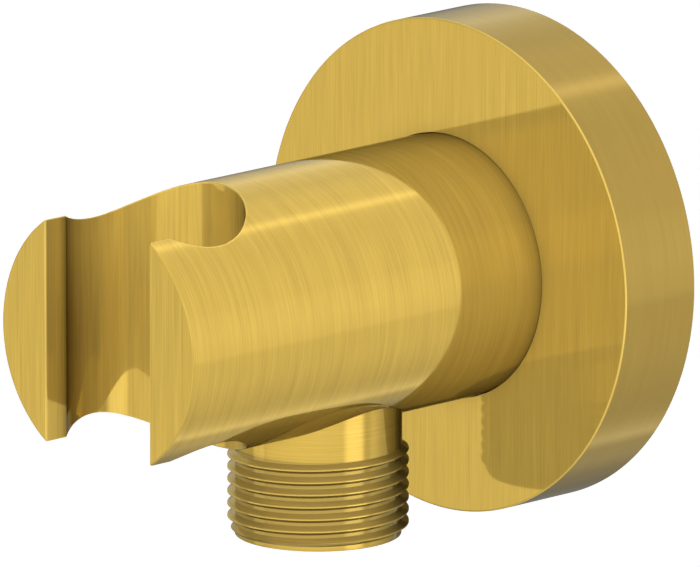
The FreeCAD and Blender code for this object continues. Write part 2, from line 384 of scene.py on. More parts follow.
# Painted shade on the walls of the fork, inside the hole and in the corners of the slot.
def shade_in_fork(x, y, z):
    beside_slot = hole_out + math.sqrt(hole_r**2 - half_slot**2)
    return fallen(0 - y, hole_start, hole_fade) * hole_shade + near(y + beside_slot, *slot_shade)


# Painted shade on the nipple's rear, towards the wall; the thread gets it too.
def shade_behind_nipple(x, y, z):
    return fallen(y, rear_start, rear_fade) * rear_shade


# Painted highlight on the crests of the thread: lighter gold where the radius is largest.
def highlight_on_crest(x, y, z):
    return fallen(off_nipple(x, y), crest_start, crest_fade) * crest_highlight


# Painted shade goes into the body, the rosette's face, the fork's walls, the nipple and the thread; painted
# highlight into the edges and the thread's crests.
gold_round = brushed_gold("gold_round", 1, painted_shade=shade_on_body)
gold_face = brushed_gold("gold_face", 0, contrast=fine_contrast, painted_shade=shade_on_face)
gold_flat = brushed_gold("gold_flat", 0)
gold_wall = brushed_gold("gold_wall", 1, painted_shade=shade_in_fork)
gold_edge_highlight = brushed_gold("gold_edge_highlight", 1, edge_highlight_gold)
gold_nipple = brushed_gold("gold_nipple", 2, contrast=fine_contrast, painted_shade=shade_behind_nipple)
gold_rim = brushed_gold("gold_rim", 1, rim_gold, rim_contrast)
gold_thread = brushed_gold("gold_thread", 2, shaded_thread_gold, fine_contrast, shade_behind_nipple, highlight_on_crest)
golds = (gold_round, gold_face, gold_flat, gold_wall, gold_edge_highlight, gold_nipple, gold_rim, gold_thread)
print("gold finishes:", *(material.name for material in golds))

# %% [markdown]
# ## The other finishes
#
# Inside, the brass is left bare with fine marks from turning. The rings are rubber, the washer is pressed
# fibre with short hairs in it, the screw and the spring are stainless steel, and the check valve is moulded
# plastic. Each finish has a colour that drifts a little and a surface of its own.

# %% The plain finishes
grain_depth = 0.02 * mm
grain_roughness = 0.2


def speckled(name, dark, light, size, roughness, bump, metallic):
    """A finish whose colour and height follow one fine noise. Size is one length, or one for each axis."""
    material, tree = new_material(name)
    place = tree.add("ShaderNodeTexCoord", output="Object")
    sizes = size if isinstance(size, tuple) else (size,) * 3
    grain = tree.noise(place, [1 / length for length in sizes], detail=3.0)
    height = tree.add("ShaderNodeBump", None, {"Strength": bump, "Distance": grain_depth, "Height": grain})
    inputs = {
        "Base Color": tree.mix(grain, (*dark, 1), (*light, 1)),
        "Metallic": metallic,
        "Roughness": roughness + (grain - 0.5) * grain_roughness,
        "Normal": height,
    }
    principled(tree, inputs)
    return material


long_mark = 20 * mm
brass_mark = 0.12 * mm
steel_marks = long_mark, long_mark, 0.1 * mm
hairs = 0.9 * mm, 0.9 * mm, 0.15 * mm
brass = (0.52, 0.36, 0.13), (0.66, 0.48, 0.20)
brass_surface = {"roughness": 0.3, "bump": 0.15, "metallic": 1.0}
brass_marks_out = speckled("turned_brass_out", *brass, (long_mark, brass_mark, long_mark), **brass_surface)
brass_marks_down = speckled("turned_brass_down", *brass, (long_mark, long_mark, brass_mark), **brass_surface)

# Each row gives the dark and the light colour, the size of the grain, the roughness, the bump and the metal.
finishes = {
    "stainless_steel": ((0.42, 0.42, 0.43), (0.58, 0.58, 0.59), steel_marks, 0.25, 0.10, 1.0),
    "black_rubber": ((0.012, 0.012, 0.012), (0.03, 0.03, 0.032), 0.25 * mm, 0.55, 0.20, 0.0),
    "soft_seal": ((0.03, 0.03, 0.032), (0.075, 0.075, 0.078), 0.4 * mm, 0.85, 0.70, 0.0),
    "red_fibre": ((0.22, 0.025, 0.015), (0.40, 0.075, 0.045), hairs, 0.80, 0.40, 0.0),
    "white_plastic": ((0.74, 0.74, 0.71), (0.83, 0.83, 0.81), 2.5 * mm, 0.38, 0.05, 0.0),
    "blue_plastic": ((0.035, 0.13, 0.40), (0.06, 0.19, 0.50), 2.0 * mm, 0.40, 0.05, 0.0),
}
steel, rubber, soft_seal, fibre, white_plastic, blue_plastic = (
    speckled(name, *values) for name, values in finishes.items()
)
print("plain finishes:", *finishes)

# %% [markdown]
# ## Turned pieces
#
# Nearly everything here comes off a lathe, so one function makes a piece from its outline: pairs of distance
# along the axis and radius. A third number rounds that corner, because a sharp edge catches no light and
# real ones are always broken. The function also works out the true normal at every corner of every face and
# hands it to the mesh. Smooth shading alone would average a small rounding with the large flat face beside
# it, and a flat ring would look domed.

# %% The outline of a turned piece
corner_steps = 4


def spread(start, end, count):
    """Evenly spaced values from start to end."""
    return [start + (end - start) * number / count for number in range(count + 1)]


def bend(first, corner, last, share):
    """A point of the curve that leaves first towards a corner and arrives at last."""
    return first * (1 - share) ** 2 + corner * (2 * share * (1 - share)) + last * share**2


def area(corners):
    """The signed area of an outline. It is above nought where the outline runs counter-clockwise."""
    following = corners[1:] + corners[:1]
    return sum(a[0] * b[1] - b[0] * a[1] for a, b in zip(corners, following)) / 2


def softened(corners):
    """Points of an outline, each with the normals before and after it, and its corners rounded."""
    made = []
    for number, (along, radius, *soft) in enumerate(corners):
        here = Vector((along, radius))
        arriving = (here - Vector(corners[number - 1][:2])).normalized()
        leaving = (Vector(corners[(number + 1) % len(corners)][:2]) - here).normalized()
        before = Vector((arriving.y, -arriving.x))
        after = Vector((leaving.y, -leaving.x))
        if not soft:
            made.append((here, before, after))
            continue
        start = here - arriving * soft[0]
        end = here + leaving * soft[0]
        for share in spread(0, 1, corner_steps):
            normal = (before * (1 - share) + after * share).normalized()
            made.append((bend(start, here, end, share), normal, normal))
    return made


def groove(along, half, radius, depth, *soft):
    """The four corners of a groove round a turned piece. A depth below nought cuts outwards, into a bore."""
    start, end = along - half, along + half
    return [(start, radius, *soft), (start, radius - depth), (end, radius - depth), (end, radius, *soft)]


print("steps round a soft corner:", corner_steps)


# %% The turned piece itself
def placed(name, data):
    """A new object in the scene."""
    made = bpy.data.objects.new(name, data)
    bpy.context.scene.collection.objects.link(made)
    return made


def mesh_object(name, points, faces, finishes, materials, normals=None):
    """A mesh object from plain lists. Normals are given corner by corner, in the order of the faces."""
    mesh = bpy.data.meshes.new(name)
    mesh.from_pydata(points, [], faces)
    for material in materials:
        mesh.materials.append(material)
    mesh.polygons.foreach_set("material_index", finishes)
    mesh.shade_smooth()
    if normals is not None:
        mesh.normals_split_custom_set(normals)
    return placed(name, mesh)


def turned(name, corners, base, direction, materials, finish=None, sides=columns, closed=True):
    """A piece turned from its outline. Finish gives the number of a face's material from its normal."""
    if area([corner[:2] for corner in corners]) < 0:
        corners = corners[::-1]
    outline = softened(corners)
    other = direction.cross(ACROSS)
    spokes = []
    for number in range(sides):
        angle = 2 * math.pi * number / sides
        spokes.append(ACROSS * math.cos(angle) + other * math.sin(angle))
    points, rings = [], []
    for (along, radius), _, _ in outline:
        centre = base + direction * along
        around = spokes if radius > weld else [Vector()]
        numbers = list(range(len(points), len(points) + len(around)))
        rings.append(numbers if radius > weld else numbers * sides)
        points += [centre + spoke * radius for spoke in around]
    faces, finishes, normals = [], [], []
    for number in range(len(outline) if closed else len(outline) - 1):
        following = (number + 1) % len(outline)
        leaving, arriving = outline[number][2], outline[following][1]
        first, second = rings[number], rings[following]
        on_axis = first[0] == first[1] and second[0] == second[1]
        if on_axis or (outline[following][0] - outline[number][0]).length < weld:
            continue
        material_number = finish(leaving) if finish else 0
        for side in range(sides):
            beside = (side + 1) % sides
            ring = [(first[side], leaving, side), (second[side], arriving, side)]
            ring += [(second[beside], arriving, beside), (first[beside], leaving, beside)]
            kept = [corner for place, corner in enumerate(ring) if corner[0] != ring[place - 1][0]]
            faces.append([corner[0] for corner in kept])
            finishes.append(material_number)
            normals += [direction * normal.x + spokes[spoke] * normal.y for _, normal, spoke in kept]
    return mesh_object(name, points, faces, finishes, materials, normals)


def report(piece):
    """Prints how large a piece is and whether it is closed."""
    mesh = bmesh.new()
    mesh.from_mesh(piece.data)
    open_edges = sum(len(side.link_faces) != 2 for side in mesh.edges)
    volume = mesh.calc_volume(signed=True)
    mesh.free()
    piece.data.calc_loop_triangles()
    triangles = len(piece.data.loop_triangles)
    cubic_mm = round(volume / mm**3, 1)
    print(piece.name, "triangles", triangles, "open edges", open_edges, "volume mm3", cubic_mm)


def settle(piece, body, slot, *stands_for):
    """Ties a finished piece to its body and hides the nodes that it stands for. The slot is not used."""
    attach(piece, body)
    if stands_for:
        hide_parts(*stands_for)
    report(piece)


print("faces round a turned piece:", columns)

# %% [markdown]
# ## The rosette
#
# The rosette is a cup that opens towards the wall: a thick rim outside, a front plate, and a hub that slides
# on the body with a rubber ring inside it. Its front is one large flat ring, and its two outer edges catch
# the light because they are rounded. The front one also has a painted highlight in a lighter gold. The
# brushing changes direction there, so the front face and the rim have separate materials.

# %% Make the rosette
rim_wall = 3.6 * mm
lip_wall = 1.6 * mm
plate = 2.7 * mm
hub_wall = 3.4 * mm
hub_length = 7.2 * mm
ring_groove_setback = 3.6 * mm
groove_depth = 1.0 * mm
groove_half = 0.9 * mm
lip_depth = 2.5 * mm

rosette_bore = body_r + slide_gap
groove_out = rosette_front - ring_groove_setback
rosette_outline = [
    (rosette_back, rosette_r, edge / 2),
    (rosette_front, rosette_r, edge),
    (rosette_front, rosette_bore, edge / 4),
    *groove(groove_out, -groove_half, rosette_bore, -groove_depth),
    (rosette_front - hub_length, rosette_bore, edge),
    (rosette_front - hub_length, rosette_bore + hub_wall, edge),
    (rosette_front - plate, rosette_bore + hub_wall, edge),
    (rosette_front - plate, rosette_r - rim_wall, 3 * edge),
    (lip_depth, rosette_r - rim_wall, edge / 2),
    (lip_depth, rosette_r - lip_wall),
    (rosette_back, rosette_r - lip_wall, edge / 2),
]
rosette_materials = [gold_round, gold_face, gold_rim, gold_edge_highlight]
least_out = 0.3
least_outward, most_outward = 0.1, 0.97
rim_outward = 0.7


def rosette_finish(normal):
    """The number of a face's material, from how far its normal points out of the wall and off the axis."""
    cup, face, rim, highlit_edge = range(4)
    if normal.x > least_out:
        # The front rounded edge takes the lighter gold of the painted highlight.
        return highlit_edge if least_outward < normal.y < most_outward else face
    return rim if normal.y > rim_outward else cup


rosette = turned("wall_rosette_gold", rosette_outline, WALL, OUT, rosette_materials, rosette_finish)
settle(rosette, "rosette", "brushed_gold", "wall_rosette")

# %% [markdown]
# ## The holder body: a plan for its patches
#
# The body is a round bar with an upright hole through its front end and a slot from the hole to the front.
# Where the hole leaves the round bar, its edge is a saddle curve. Cutting one mesh from another there leaves
# long crooked faces, and the light would show them. So the outside is laid out as a grid instead. All
# grid lines on the bar run along it, and each line that meets the hole stops exactly on the saddle curve.
#
# The fork is the same left and right, and above and below. Only a quarter is made, and mirrored twice.

# %% Grid lines over a quarter of the body
rounding_steps = 3


def height_at(x, radius=body_r):
    """How high the round bar is above its axis at a place across it."""
    return math.sqrt(max(radius**2 - x**2, 0.0))


def rounded_edge(first, corner, last):
    """Points from one surface to the next, round an edge."""
    return [bend(first, corner, last, share) for share in spread(0, 1, rounding_steps)]


def at(x, out, z):
    """A point from its place across the body, its distance out from the wall and its height."""
    return Vector((x, -out, z))


rear_rows = 6
front_rows = 4
narrow_lines = 16
back_lines = 28
side_lines = 26
rim_r = hole_r + edge
rim_x = half_slot + edge
rim_turn = math.asin(rim_x / rim_r)
wall_turn = math.pi - math.asin(half_slot / hole_r)
narrow_turns = spread(rim_turn, math.pi / 2, narrow_lines)
back_turns = spread(0, rim_turn, back_lines) + narrow_turns[1:]
front_turns = [math.pi - turn for turn in reversed(narrow_turns)]
side_angles = spread(math.acos(rim_r / body_r), 0, side_lines)
side_places = [(body_r * math.cos(angle), body_r * math.sin(angle)) for angle in side_angles]
print("grid lines over a quarter:", len(back_turns) + len(side_places) - 1)


# %% The saddle edge and the walls of the fork
def saddle(turn):
    """The rounded edge between the bar and the hole, at an angle round the hole from its rear."""
    x = rim_r * math.sin(turn)
    wall = turn * wall_turn / (math.pi - rim_turn)
    wall_x = hole_r * math.sin(wall)
    wall_out = hole_out - hole_r * math.cos(wall)
    top = height_at(wall_x)
    first = at(x, hole_out - rim_r * math.cos(turn), height_at(x))
    return rounded_edge(first, at(wall_x, wall_out, top), at(wall_x, wall_out, top - edge))


def slot_edge(share):
    """The rounded upper edge of the slot, from the hole at 0 to the front at 1."""
    rim_start = hole_out + rim_r * math.cos(rim_turn)
    wall_start = hole_out - hole_r * math.cos(wall_turn)
    rim_out = rim_start + (body_front - edge - rim_start) * share
    wall_out = wall_start + (body_front - edge - wall_start) * share
    top = height_at(half_slot)
    first = at(rim_x, rim_out, height_at(rim_x))
    return rounded_edge(first, at(half_slot, wall_out, top), at(half_slot, wall_out, top - edge))


saddle_edges = [saddle(turn) for turn in back_turns + front_turns[1:]]
slot_edges = [slot_edge(share) for share in spread(0, 1, front_rows)]
print("points along the saddle edge:", len(saddle_edges), "and along the slot:", len(slot_edges))

# %% The front ends of the prongs
front_r = body_r - edge
front_places = [(rim_r * math.sin(turn), height_at(rim_r * math.sin(turn))) for turn in reversed(front_turns)]
front_places += side_places[1:]


def front_edge(x, z):
    """The rounded edge between the bar and a prong's front face."""
    inner_x = max(x * front_r / body_r, rim_x)
    inner = at(inner_x, body_front, height_at(inner_x, front_r))
    return rounded_edge(at(x, body_front - edge, z), at(x, body_front, z), inner)


front_edges = [front_edge(x, z) for x, z in front_places]
face_heights = [points[-1].z for points in front_edges]
wall_shares = [height / face_heights[0] for height in face_heights]


def wall_column(top):
    """Points down a wall of the fork, from its rounded edge to the level of the axis."""
    return [Vector((top.x, top.y, top.z * share)) for share in wall_shares]


def upright_edge(wall_point, height):
    """The rounded upright edge between the slot and a prong's front face."""
    corner = at(half_slot, body_front, (wall_point.z + height) / 2)
    return rounded_edge(wall_point, corner, at(rim_x, body_front, height))


slot_columns = [wall_column(points[-1]) for points in slot_edges]
upright_edges = [upright_edge(point, height) for point, height in zip(slot_columns[-1], face_heights)]
print("heights on a prong's face:", len(face_heights))

# %% [markdown]
# ## The holder body: patches become a closed shell
#
# Each patch is a list of rows of points. The rows are joined by four-sided faces, the quarter is mirrored to
# left and below, and points that fall together are merged, which closes the seams. At the rear the same grid
# lines go on round the edge and down into the socket for the wall nipple and the waterway.

# %% Lay out the patches
def bar_lines():
    """The outside of the bar, line by line, cut off where the hole and the slot are."""
    start = body_rear + edge
    rear, front = [], []
    for turn in back_turns:
        x = rim_r * math.sin(turn)
        outs = spread(start, hole_out - rim_r * math.cos(turn), rear_rows)
        rear.append([at(x, out, height_at(x)) for out in outs])
    for x, z in side_places[1:]:
        rear.append([at(x, out, z) for out in spread(start, hole_out, rear_rows)])
    for turn in reversed(front_turns):
        x = rim_r * math.sin(turn)
        outs = spread(hole_out - rim_r * math.cos(turn), body_front - edge, front_rows)
        front.append([at(x, out, height_at(x)) for out in outs])
    for x, z in side_places[1:]:
        front.append([at(x, out, z) for out in spread(hole_out, body_front - edge, front_rows)])
    return rear, front


socket_r = 9.05 * mm
socket_lead = 1.0 * mm
socket_end = 18.4 * mm
passage_r = 5.5 * mm
socket_profile = [
    (body_rear, body_r - edge),
    (body_rear, socket_r + socket_lead),
    (body_rear + socket_lead, socket_r),
    (socket_end, socket_r),
    (socket_end, passage_r),
    (outlet_out, passage_r),
    (outlet_out + passage_r, 0.0),
]


def rear_lines(places):
    """The rear edge, the rear face and the bores behind it, on the bar's own lines."""
    lines = []
    for x, z in places:
        inner = at(x * front_r / body_r, body_rear, z * front_r / body_r)
        rounded = rounded_edge(at(x, body_rear + edge, z), at(x, body_rear, z), inner)
        bores = [at(x * radius / body_r, out, z * radius / body_r) for out, radius in socket_profile]
        lines.append(rounded + bores[1:])
    return lines


print("the socket is", round((socket_end - body_rear) / mm, 1), "mm deep")


# %% Build the shell
def corner_fan(ring):
    """Small faces round the point where three rounded edges meet."""
    centre = sum(ring, Vector()) / len(ring)
    return [(centre, ring[number - 1], ring[number]) for number in range(len(ring))]


def quarter_faces():
    """All faces of a quarter of the body, each with the number of its finish."""
    rear, front = bar_lines()
    bores = rear_lines([(line[0].x, line[0].z) for line in rear])
    # The rounded edges round the hole, along the slot and up the prongs' fronts take the lighter gold of the
    # painted highlight.
    outside, flat, bare, bright, inside = range(5)
    patches = [
        (rear, outside),
        (front, outside),
        (saddle_edges, bright),
        (slot_edges, bright),
        ([wall_column(points[-1]) for points in saddle_edges], inside),
        (slot_columns, inside),
        (front_edges, outside),
        (upright_edges, bright),
        ([[points[-1], upright[-1]] for points, upright in zip(front_edges, upright_edges)], flat),
        ([line[: rounding_steps + 2] for line in bores], outside),
        ([line[rounding_steps + 1 :] for line in bores], bare),
    ]
    made = []
    for rows, number in patches:
        for row, following in zip(rows, rows[1:]):
            corners = zip(row, row[1:], following[1:], following)
            made += [(four, number) for four in corners]
    ring = slot_edges[-1] + upright_edges[0][1:] + front_edges[0][-2:0:-1]
    made += [(corners, outside) for corners in corner_fan(ring)]
    return made


def weld_into(mesh, data):
    """Merges the points of a mesh that fall together, turns its faces outwards and writes it back."""
    bmesh.ops.remove_doubles(mesh, verts=mesh.verts, dist=weld)
    bmesh.ops.recalc_face_normals(mesh, faces=mesh.faces)
    mesh.to_mesh(data)
    mesh.free()


def shell(name, numbered_faces, materials):
    """A closed mesh from a quarter: mirrored across X and Z, merged, and turned to face outwards."""
    mesh = bmesh.new()
    for x_side, z_side in ((1, 1), (-1, 1), (1, -1), (-1, -1)):
        for corners, number in numbered_faces:
            points = [mesh.verts.new((point.x * x_side, point.y, point.z * z_side)) for point in corners]
            mesh.faces.new(points).material_index = number
    data = bpy.data.meshes.new(name)
    weld_into(mesh, data)
    for material in materials:
        data.materials.append(material)
    return placed(name, data)


holder_materials = [gold_round, gold_flat, brass_marks_out, gold_edge_highlight, gold_wall]
holder = shell("holder_body_gold", quarter_faces(), holder_materials)
report(holder)

# %% [markdown]
# ## The holder body: bores from below
#
# The nipple sits in a stepped pocket on the underside, and a small threaded hole behind it takes the grub
# screw. These mouths have plain sharp edges, so a Boolean cut is good enough here. Afterwards the normals are
# set by a rule: a corner that lies on one of the body's known surfaces gets that surface's normal.

# %% Cut the pocket and the screw hole
def keep_result(piece):
    """Gives a piece the plain mesh that its modifiers make, and removes them."""
    made = bpy.data.meshes.new_from_object(piece.evaluated_get(bpy.context.evaluated_depsgraph_get()))
    piece.modifiers.clear()
    piece.data = made


def combine(piece, other, operation):
    """Cuts a closed mesh out of a piece or joins it to the piece, and removes it."""
    change = piece.modifiers.new("change", "BOOLEAN")
    change.operation = operation
    change.solver = "EXACT"
    change.object = other
    keep_result(piece)
    bpy.data.objects.remove(other)


def rod(low, high, radius):
    """The outline of a plain round rod along its axis."""
    return [(low, 0.0), (low, radius), (high, radius), (high, 0.0)]


past_body = 20 * mm
above_axis = -0.5 * mm
seat_drop = 11.0 * mm
shank_top = 7.8 * mm
shank_r = 8.0 * mm
top_r = 7.2 * mm
end_gap = 0.2 * mm
pocket_outline = [
    (above_axis, 0.0),
    (above_axis, passage_r - fit_gap),
    (outlet_top - end_gap, passage_r - fit_gap),
    (outlet_top - end_gap, top_r + fit_gap),
    (shank_top - end_gap, top_r + fit_gap),
    (shank_top - end_gap, shank_r + fit_gap),
    (seat_drop, shank_r + fit_gap),
    (seat_drop, neck_r + fit_gap),
    (past_body, neck_r + fit_gap),
    (past_body, 0.0),
]
screw_place = OUT * middle("grub_screw").dot(OUT)
screw_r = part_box("grub_screw")[1].x
screw_hole = rod(0.0, past_body, screw_r + fit_gap)
screw_columns = 96
pocket = turned("pocket", pocket_outline, OUTLET, DOWN, [brass_marks_down])
combine(holder, pocket, "DIFFERENCE")
screw_cutter = turned("screw_hole", screw_hole, screw_place, DOWN, [brass_marks_down], sides=screw_columns)
combine(holder, screw_cutter, "DIFFERENCE")
print("faces of the holder body after its bores:", len(holder.data.polygons))


# %% Give the body its true normals
surface_slack = 0.004 * mm
same_side = math.cos(math.radians(40))
crease = math.radians(30)


def bar_normal(point):
    radius = math.hypot(point.x, point.z)
    on_bar = abs(radius - body_r) < surface_slack
    return Vector((point.x, 0, point.z)) / radius if on_bar else None


def hole_normal(point):
    inward = Vector((-point.x, -hole_out - point.y, 0))
    in_hole = abs(inward.length - hole_r) < surface_slack
    return inward.normalized() if in_hole else None


def slot_normal(point):
    on_wall = abs(abs(point.x) - half_slot) < surface_slack
    return Vector((-math.copysign(1, point.x), 0, 0)) if on_wall else None


def end_normal(point):
    if abs(point.y + body_front) < surface_slack:
        return OUT
    return IN if abs(point.y + body_rear) < surface_slack else None


def forget_normals(mesh):
    """Drops hand-set normals, which no longer fit once a mesh has been cut or joined."""
    if "custom_normal" in mesh.attributes:
        mesh.attributes.remove(mesh.attributes["custom_normal"])


def shade(mesh):
    """Makes a mesh smooth, apart from its creases."""
    mesh.shade_smooth()
    mesh.set_sharp_from_angle(angle=crease)


def set_true_normals(mesh, surfaces):
    """Gives each corner the normal of a surface that it lies on and that its face agrees with."""
    forget_normals(mesh)
    shade(mesh)
    normals = [Vector(corner.vector) for corner in mesh.corner_normals]
    for polygon in mesh.polygons:
        for loop in polygon.loop_indices:
            point = mesh.vertices[mesh.loops[loop].vertex_index].co
            found = [surface(point) for surface in surfaces]
            fitting = [normal for normal in found if normal and normal.dot(polygon.normal) > same_side]
            if fitting:
                normals[loop] = max(fitting, key=polygon.normal.dot)
    mesh.normals_split_custom_set(normals)


set_true_normals(holder.data, [bar_normal, hole_normal, slot_normal, end_normal])
settle(holder, "holder", "brushed_gold", "holder_body")

# %% [markdown]
# ## Threads with Geometry Nodes
#
# A screw thread is one rule: as the angle goes round, the outline of a tooth moves along the axis by one
# pitch. So a flat grid is bent by a formula. Its columns become angles, and its rows follow the four corners
# of the tooth from turn to turn. Rows that would stick out past either end are held at the end, where they
# fall together and are merged. The first row closes the thread to the neck, and the last one to the tip.
#
# One tree makes both threads of this object. Its inputs are the sizes of the thread. Phase turns the thread
# by a share of a turn, and Lead is how far the cone at its end stands above the end radius.

# %% Build the thread tree
thread_inputs = ("Pitch", "Crest Radius", "Root Radius", "Length")
thread_inputs += ("Start Radius", "End Radius", "Phase", "Lead")
rows_per_turn = 4
turns_before = 2
spare_turns = 3
closing_rows = 2
crest_share = 0.10
flank_share = 0.32
root_share = 0.26


def new_geometry_tree(name, inputs):
    group = bpy.data.node_groups.new(name, "GeometryNodeTree")
    sockets = [("Geometry", "Geometry")] + [(label, "Float") for label in inputs]
    sockets += [("Rows", "Int"), ("Columns", "Int"), ("Material", "Material")]
    for label, kind in sockets:
        group.interface.new_socket(label, in_out="INPUT", socket_type="NodeSocket" + kind)
    group.interface.new_socket("Geometry", in_out="OUTPUT", socket_type="NodeSocketGeometry")
    tree = Tree(group)
    given = group.nodes.new("NodeGroupInput")
    return group, tree, {socket.name: Flow(tree, socket) for socket in given.outputs if socket.name}


def end_geometry_tree(tree, geometry, given):
    """Every tree ends in plain geometry with its material."""
    real = tree.add("GeometryNodeRealizeInstances", None, {0: geometry})
    dressed = tree.add("GeometryNodeSetMaterial", None, {"Geometry": real, "Material": given["Material"]})
    tree.add("NodeGroupOutput", None, {0: dressed})


def thread_tree():
    group, tree, given = new_geometry_tree("thread", thread_inputs)
    last_row = given["Rows"] - 1
    sizes = {"Size X": last_row, "Size Y": given["Columns"]}
    counts = {"Vertices X": given["Rows"], "Vertices Y": given["Columns"] + 1}
    grid = tree.add("GeometryNodeMeshGrid", None, sizes | counts)
    x, y, _ = tree.parts(tree.add("GeometryNodeInputPosition"))
    row = (x + last_row / 2).math("ROUND")
    share = (y / given["Columns"] + 0.5).clamped()
    tooth_row = row - 1
    turn = (tooth_row / rows_per_turn).math("FLOOR")
    corner = tooth_row - turn * rows_per_turn
    reached = [corner.math("GREATER_THAN", number - 0.5) for number in (1, 2, 3)]
    shift = reached[0] * crest_share + reached[1] * flank_share + reached[2] * root_share
    free = (turn - turns_before + share + given["Phase"] + shift) * given["Pitch"]
    along = free.clamped(0.0, given["Length"])
    tooth = (along / given["Pitch"] - share - given["Phase"]).math("FRACT")
    rise = fallen(tooth, crest_share + flank_share + root_share, flank_share)
    drop = fallen(tooth, crest_share, flank_share)
    depth = given["Crest Radius"] - given["Root Radius"]
    profile = given["Root Radius"] + depth * (1 - drop + rise)
    start_limit = given["Start Radius"] + along * (depth / (given["Pitch"] * flank_share))
    end_limit = given["End Radius"] + (given["Length"] - along) + given["Lead"]
    radius = profile.math("MINIMUM", start_limit).math("MINIMUM", end_limit)
    is_first = row.math("LESS_THAN", 0.5)
    is_last = row.math("GREATER_THAN", last_row - 0.5)
    is_tooth = 1 - is_first - is_last
    radius = is_first * given["Start Radius"] + is_last * given["End Radius"] + is_tooth * radius
    along = is_last * given["Length"] + is_tooth * along
    angle = share * (2 * math.pi)
    place = tree.vector(radius * angle.math("COSINE"), radius * angle.math("SINE"), along)
    bent = tree.add("GeometryNodeSetPosition", None, {"Geometry": grid, "Position": place})
    merged = tree.add("GeometryNodeMergeByDistance", None, {"Geometry": bent, "Distance": weld})
    end_geometry_tree(tree, merged, given)
    return group


def thread_rows(length, pitch):
    """The rows of a thread: four for each turn, spare turns at both ends, and the two closing rows."""
    return rows_per_turn * (math.ceil(length / pitch) + spare_turns) + closing_rows


thread_group = thread_tree()
print("nodes in the thread tree:", len(thread_group.nodes))


# %% Run a tree and join its mesh to a core
def grown(name, group, values):
    """Runs a node group on an empty mesh and returns the result as a plain mesh object."""
    piece = placed(name, bpy.data.meshes.new(name))
    modifier = piece.modifiers.new(name, "NODES")
    modifier.node_group = group
    for item in group.interface.items_tree:
        if item.in_out == "INPUT" and item.name in values:
            modifier[item.identifier] = values[item.name]
    keep_result(piece)
    return piece


def threaded(core, thread, base, direction, materials):
    """Joins a thread to the turned core that it belongs to, and closes the seam between them."""
    other = direction.cross(ACROSS)
    for vertex in thread.data.vertices:
        x, y, along = vertex.co
        vertex.co = base + ACROSS * x + other * y + direction * along
    forget_normals(core.data)
    mesh = bmesh.new()
    mesh.from_mesh(core.data)
    cores = len(mesh.faces)
    mesh.from_mesh(thread.data)
    mesh.faces.ensure_lookup_table()
    for number in range(cores, len(mesh.faces)):
        mesh.faces[number].material_index = len(materials) - 1
    data = bpy.data.meshes.new(core.name)
    weld_into(mesh, data)
    for material in materials:
        data.materials.append(material)
    shade(data)
    core.data = data
    bpy.data.objects.remove(thread)
    return core


print("seams are closed up to", round(weld / mm, 4), "mm")

# %% [markdown]
# ## The outlet nipple
#
# Only its lower half shows: a plain neck, then the thread for the hose, then a short plain tip. The upper
# half is hidden in the body's pocket, where it has a shank and a spigot with a sealing ring. The core is
# turned with a gap in its outline, and the thread fills the gap.

# %% Make the outlet nipple
neck_end = 17.7 * mm
tip = 0.6 * mm
tip_r = 9.62 * mm
outlet_pitch = 1.45 * mm
outlet_bore = 5.1 * mm
valve_bore = 7.5 * mm
valve_top = 12.4 * mm
spigot_groove = 6.1 * mm
outlet_outline = [
    (outlet_end - tip, tip_r),
    (outlet_end, tip_r, edge / 2),
    (outlet_end, valve_bore, edge / 2),
    (valve_top, valve_bore),
    (valve_top, outlet_bore),
    (outlet_top, outlet_bore),
    (outlet_top, top_r, edge),
    *groove(spigot_groove, groove_half, top_r, groove_depth),
    (shank_top, top_r),
    (shank_top, shank_r),
    (seat_drop, shank_r),
    (seat_drop, neck_r),
    (neck_end, neck_r),
]
nipple_materials = [gold_nipple, brass_marks_down, gold_thread]
bore_inward = -0.7


def nipple_finish(normal):
    """Faces that point towards the axis are bare brass."""
    gilded, bare = range(2)
    return bare if normal.y < bore_inward else gilded


outlet_core = turned(
    "outlet_nipple_gold", outlet_outline, OUTLET, DOWN, nipple_materials, nipple_finish, closed=False
)
thread_length = outlet_end - tip - neck_end
outlet_thread = {
    "Pitch": outlet_pitch,
    "Crest Radius": thread_r,
    "Root Radius": tip_r,
    "Length": thread_length,
    "Start Radius": neck_r,
    "End Radius": tip_r,
    "Phase": 0.35,
    "Lead": 0.3 * mm,
    "Rows": thread_rows(thread_length, outlet_pitch),
    "Columns": columns,
    "Material": gold_thread,
}
outlet_turns = grown("outlet_thread", thread_group, outlet_thread)
outlet = threaded(outlet_core, outlet_turns, OUTLET + DOWN * neck_end, DOWN, nipple_materials)
settle(outlet, "holder", "brushed_gold", "outlet_nipple")

# %% [markdown]
# ## The wall nipple
#
# This is the piece that is screwed into the pipe in the wall. From behind one sees its thread and its bore.
# In front it has a flange that presses on the washer and a spigot with two sealing rings, and a groove that
# the grub screw bites into. It is bare turned brass. A hexagon inside it takes the key.

# %% Make the wall nipple
wall_end = span("wall_nipple", IN)[1]
nipple_front = span("wall_nipple", OUT)[1]
washer_depth = span("nipple_washer", OUT)[1]
flange_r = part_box("wall_nipple")[1].x
flange_depth = 2.2 * mm
relief_depth = 0.8 * mm
end_taper = 1.3 * mm
flange_front = washer_depth + flange_depth
relief_r = thread_r - relief_depth
wall_end_r = thread_r - end_taper
spigot_r = 9.0 * mm
water_r = 4.9 * mm
key_bore = 5.9 * mm
lead = 1.0 * mm
lock_depth = 1.1 * mm
lock_half = 1.5 * mm
ring_half = 1.2 * mm
ring_depth = 1.35 * mm
screw_out = screw_place.dot(OUT)
rear_ring = middle("nipple_o_ring_rear").dot(OUT)
front_ring = middle("nipple_o_ring_front").dot(OUT)

